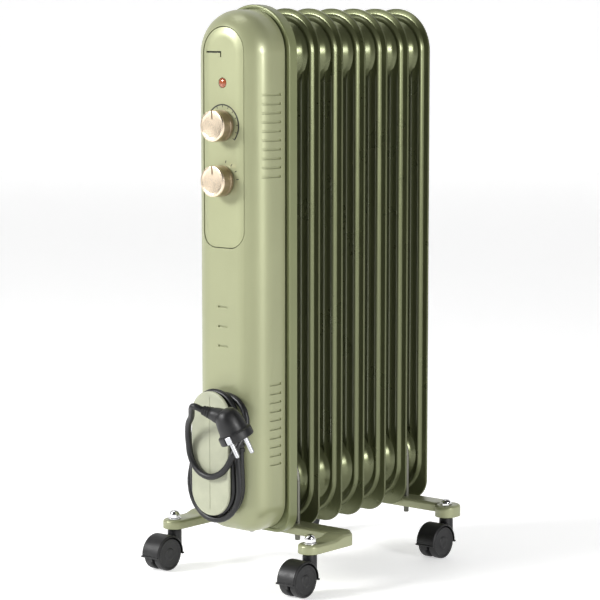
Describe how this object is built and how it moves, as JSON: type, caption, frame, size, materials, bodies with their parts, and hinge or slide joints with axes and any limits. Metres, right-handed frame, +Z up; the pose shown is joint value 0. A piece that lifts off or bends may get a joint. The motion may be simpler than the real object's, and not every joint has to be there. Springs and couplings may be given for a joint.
{
  "type": "oil filled radiator heater",
  "caption": "Free-standing column radiator: arched steel fins on two headers, a domed control box with knobs and cord winder, and two feet on swivel casters.",
  "frame": {"origin": "on the floor, under the middle of the heater's box without its cord", "axes": "+Z up, -Y out of the control panel, +X to the right of someone facing the panel"},
  "size_m": [0.226, 0.3873, 0.635],
  "materials": {
    "sage_paint": "satin enamel paint",
    "winder_plastic": "fine matte",
    "bronze": "brushed rose bronze",
    "steel": "zinc plated",
    "chrome": "polished",
    "brass": "plain",
    "black_plastic": "satin",
    "cord_rubber": "satin",
    "amber_lens": "clear gloss",
    "switch_plastic": "plain"
  },
  "bodies": {
    "heater": {"fin_1": "sage_paint", "fin_2": "sage_paint", "fin_3": "sage_paint", "fin_4": "sage_paint", "fin_5": "sage_paint", "fin_6": "sage_paint", "fin_7": "sage_paint", "front_shell": "sage_paint", "rear_tray": "sage_paint", "control_panel": "sage_paint", "front_foot": "sage_paint", "rear_foot": "sage_paint", "cord_winder": "winder_plastic", "upper_header_plug": "steel", "lower_header_plug": "steel", "tray_header_plug": "steel", "heating_element": "steel", "thermal_cutout": "steel", "winder_screw": "steel", "front_u_bolt": "steel", "rear_u_bolt": "steel", "front_left_wing_nut": "steel", "front_right_wing_nut": "steel", "rear_left_wing_nut": "steel", "rear_right_wing_nut": "steel", "element_flange": "brass", "plug_left_pin": "steel", "plug_right_pin": "steel", "plug_front_clip": "steel", "plug_back_clip": "steel", "thermostat_body": "switch_plastic", "power_switch_body": "switch_plastic", "terminal_block": "switch_plastic", "pilot_lamp": "amber_lens", "tilt_switch": "black_plastic", "strain_relief": "cord_rubber", "cord_winding": "cord_rubber", "cord_tail": "cord_rubber", "plug_body": "black_plastic", "front_left_caster_stem": "steel", "front_left_dome_nut": "chrome", "front_right_caster_stem": "steel", "front_right_dome_nut": "chrome", "rear_left_caster_stem": "steel", "rear_left_dome_nut": "chrome", "rear_right_caster_stem": "steel", "rear_right_dome_nut": "chrome"},
    "thermostat_control": {"thermostat_knob": "bronze", "thermostat_spindle": "steel"},
    "power_control": {"power_knob": "bronze", "power_spindle": "steel"},
    "front_left_caster": {"front_left_caster_housing": "black_plastic"},
    "front_left_wheels": {"front_left_caster_wheels": "black_plastic"},
    "front_right_caster": {"front_right_caster_housing": "black_plastic"},
    "front_right_wheels": {"front_right_caster_wheels": "black_plastic"},
    "rear_left_caster": {"rear_left_caster_housing": "black_plastic"},
    "rear_left_wheels": {"rear_left_caster_wheels": "black_plastic"},
    "rear_right_caster": {"rear_right_caster_housing": "black_plastic"},
    "rear_right_wheels": {"rear_right_caster_wheels": "black_plastic"}
  },
  "joints": [
    {"name": "thermostat_turn", "type": "hinge", "parent": "heater", "child": "thermostat_control", "pos_m": [0, -0.1515, 0.505], "axis": [0, 1, 0], "range_deg": [0, 290]},
    {"name": "power_turn", "type": "hinge", "parent": "heater", "child": "power_control", "pos_m": [0, -0.1515, 0.4455], "axis": [0, 1, 0], "range_deg": [0, 180]},
    {"name": "front_left_swivel", "type": "hinge", "parent": "heater", "child": "front_left_caster", "pos_m": [-0.1, -0.1235, 0.035], "axis": [0, 0, 1], "continuous": true},
    {"name": "front_left_roll", "type": "hinge", "parent": "front_left_caster", "child": "front_left_wheels", "pos_m": [-0.1, -0.1435, 0.0185], "axis": [1, 0, 0], "continuous": true},
    {"name": "front_right_swivel", "type": "hinge", "parent": "heater", "child": "front_right_caster", "pos_m": [0.1, -0.1235, 0.035], "axis": [0, 0, 1], "continuous": true},
    {"name": "front_right_roll", "type": "hinge", "parent": "front_right_caster", "child": "front_right_wheels", "pos_m": [0.1, -0.1435, 0.0185], "axis": [1, 0, 0], "continuous": true},
    {"name": "rear_left_swivel", "type": "hinge", "parent": "heater", "child": "rear_left_caster", "pos_m": [-0.1, 0.1245, 0.035], "axis": [0, 0, 1], "continuous": true},
    {"name": "rear_left_roll", "type": "hinge", "parent": "rear_left_caster", "child": "rear_left_wheels", "pos_m": [-0.1, 0.1045, 0.0185], "axis": [1, 0, 0], "continuous": true},
    {"name": "rear_right_swivel", "type": "hinge", "parent": "heater", "child": "rear_right_caster", "pos_m": [0.1, 0.1245, 0.035], "axis": [0, 0, 1], "continuous": true},
    {"name": "rear_right_roll", "type": "hinge", "parent": "rear_right_caster", "child": "rear_right_wheels", "pos_m": [0.1, 0.1045, 0.0185], "axis": [1, 0, 0], "continuous": true}
  ]
}
